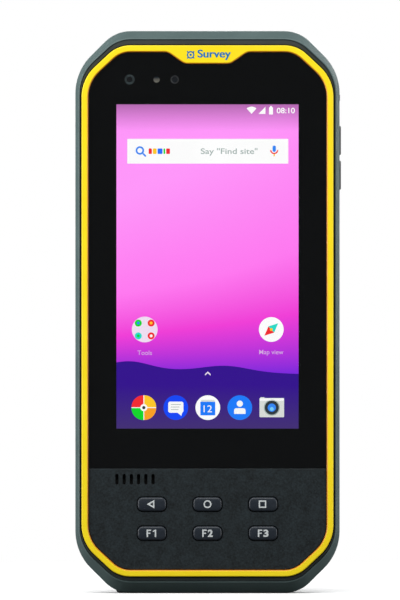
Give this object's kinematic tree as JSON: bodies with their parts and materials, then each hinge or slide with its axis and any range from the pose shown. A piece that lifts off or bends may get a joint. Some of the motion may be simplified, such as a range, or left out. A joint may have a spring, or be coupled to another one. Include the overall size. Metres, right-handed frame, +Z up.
{
  "type": "handheld data collector",
  "caption": "Rugged handheld data collector: touch screen in a yellow cut-corner bezel over a small keypad, in a rubber-bumpered case with a lift-off battery door.",
  "frame": {"origin": "middle of the base that the collector stands on", "axes": "+Z up along the case's long side, +X to the user's right, -Y out of the screen"},
  "size_m": [0.0909, 0.028, 0.1923],
  "materials": {
    "yellow_bezel": "satin moulded yellow plastic",
    "housing": "fine-textured dark grey moulding",
    "bumper": "dark grey soft overmould",
    "cover_glass": "strengthened clear glass with a black printed border",
    "keypad_panel": "fine-grained dark grey moulding",
    "keycap": "satin dark blue-grey keycaps with pale legends",
    "button": "dark rubber",
    "silicone": "translucent grey silicone",
    "seal": "black silicone gasket",
    "adhesive": "black foam tape",
    "display": "lit display",
    "light_guide": "white light guide",
    "flex": "amber polyimide",
    "board": "green solder mask",
    "black_plastic": "black moulded plastic",
    "steel": "plain steel",
    "screw_steel": "black zinc-plated steel",
    "magnesium": "cast light alloy",
    "brass": "plain brass",
    "gold": "gold plating",
    "ceramic": "fired ceramic",
    "sensor_glass": "coated lens glass",
    "led": "clear lens over yellow phosphor",
    "battery": "dark plastic case with a plain label",
    "label": "blank anodised plate",
    "door": "fine-textured dark grey moulding"
  },
  "bodies": {
    "case": {"bezel_ring": "yellow_bezel", "front_housing": "housing", "rear_housing": "housing", "bumper": "bumper", "display_glass": "cover_glass", "glass_adhesive": "adhesive", "lcd_panel": "display", "backlight": "light_guide", "lcd_flex": "flex", "keypad_panel": "keypad_panel", "keypad_membrane": "silicone", "dome_switches": "steel", "keypad_board": "board", "speaker": "black_plastic", "speaker_mesh": "steel", "microphone": "steel", "front_camera": "sensor_glass", "light_sensor": "sensor_glass", "proximity_sensor": "sensor_glass", "sensor_board": "flex", "chassis_plate": "magnesium", "main_board": "board", "board_screws": "steel", "shield_cans": "steel", "board_connectors": "black_plastic", "card_socket": "steel", "vibration_motor": "steel", "gnss_antenna": "ceramic", "usb_port": "steel", "housing_seal": "seal", "housing_screws": "screw_steel", "side_switch_board": "board", "side_switches": "black_plastic", "port_cover_pin": "steel", "battery_contact_block": "black_plastic", "battery_contacts": "gold", "door_seal": "seal", "door_inserts": "brass", "strap_inserts": "brass", "rear_camera": "black_plastic", "rear_camera_window": "sensor_glass", "flash_led": "led", "radio_antenna": "flex", "dock_contact_block": "black_plastic", "dock_contacts": "gold"},
    "key_back": {"key_back": "keycap"},
    "key_home": {"key_home": "keycap"},
    "key_recent": {"key_recent": "keycap"},
    "key_f1": {"key_f1": "keycap"},
    "key_f2": {"key_f2": "keycap"},
    "key_f3": {"key_f3": "keycap"},
    "power_button": {"power_button": "button"},
    "volume_up_button": {"volume_up_button": "button"},
    "volume_down_button": {"volume_down_button": "button"},
    "port_cover": {"port_cover": "button"},
    "battery_door": {"battery_door": "door", "rating_plate": "label"},
    "door_screw_upper": {"door_screw_upper": "steel"},
    "door_screw_lower": {"door_screw_lower": "steel"},
    "battery": {"battery_pack": "battery"}
  },
  "joints": [
    {"name": "key_back_press", "type": "slide", "parent": "case", "child": "key_back", "axis": [0, 1, 0], "range_m": [0, 0.0007], "stiffness_N_per_m": 1500},
    {"name": "key_home_press", "type": "slide", "parent": "case", "child": "key_home", "axis": [0, 1, 0], "range_m": [0, 0.0007], "stiffness_N_per_m": 1500},
    {"name": "key_recent_press", "type": "slide", "parent": "case", "child": "key_recent", "axis": [0, 1, 0], "range_m": [0, 0.0007], "stiffness_N_per_m": 1500},
    {"name": "key_f1_press", "type": "slide", "parent": "case", "child": "key_f1", "axis": [0, 1, 0], "range_m": [0, 0.0007], "stiffness_N_per_m": 1500},
    {"name": "key_f2_press", "type": "slide", "parent": "case", "child": "key_f2", "axis": [0, 1, 0], "range_m": [0, 0.0007], "stiffness_N_per_m": 1500},
    {"name": "key_f3_press", "type": "slide", "parent": "case", "child": "key_f3", "axis": [0, 1, 0], "range_m": [0, 0.0007], "stiffness_N_per_m": 1500},
    {"name": "power_button_press", "type": "slide", "parent": "case", "child": "power_button", "axis": [-1, 0, 0], "range_m": [0, 0.0005], "stiffness_N_per_m": 2500},
    {"name": "volume_up_button_press", "type": "slide", "parent": "case", "child": "volume_up_button", "axis": [-1, 0, 0], "range_m": [0, 0.0005], "stiffness_N_per_m": 2500},
    {"name": "volume_down_button_press", "type": "slide", "parent": "case", "child": "volume_down_button", "axis": [-1, 0, 0], "range_m": [0, 0.0005], "stiffness_N_per_m": 2500},
    {"name": "port_cover_hinge", "type": "hinge", "parent": "case", "child": "port_cover", "pos_m": [-0.0302, -0.0032, 0.00115], "axis": [0, 1, 0], "range_deg": [0, 100]},
    {"name": "battery_door_lift", "type": "slide", "parent": "case", "child": "battery_door", "axis": [0, 1, 0], "range_m": [0, 0.02]},
    {"name": "battery_lift", "type": "slide", "parent": "case", "child": "battery", "axis": [0, 1, 0], "range_m": [0, 0.01]},
    {"name": "door_screw_upper_turn", "type": "hinge", "parent": "battery_door", "child": "door_screw_upper", "pos_m": [0, 0.0123, 0.1642], "axis": [0, 1, 0], "continuous": true},
    {"name": "door_screw_lower_turn", "type": "hinge", "parent": "battery_door", "child": "door_screw_lower", "pos_m": [0, 0.0123, 0.0558], "axis": [0, 1, 0], "continuous": true}
  ],
  "couplings": [
    {"joint": "battery_lift", "follows": "battery_door_lift", "ratio": 0.5}
  ]
}
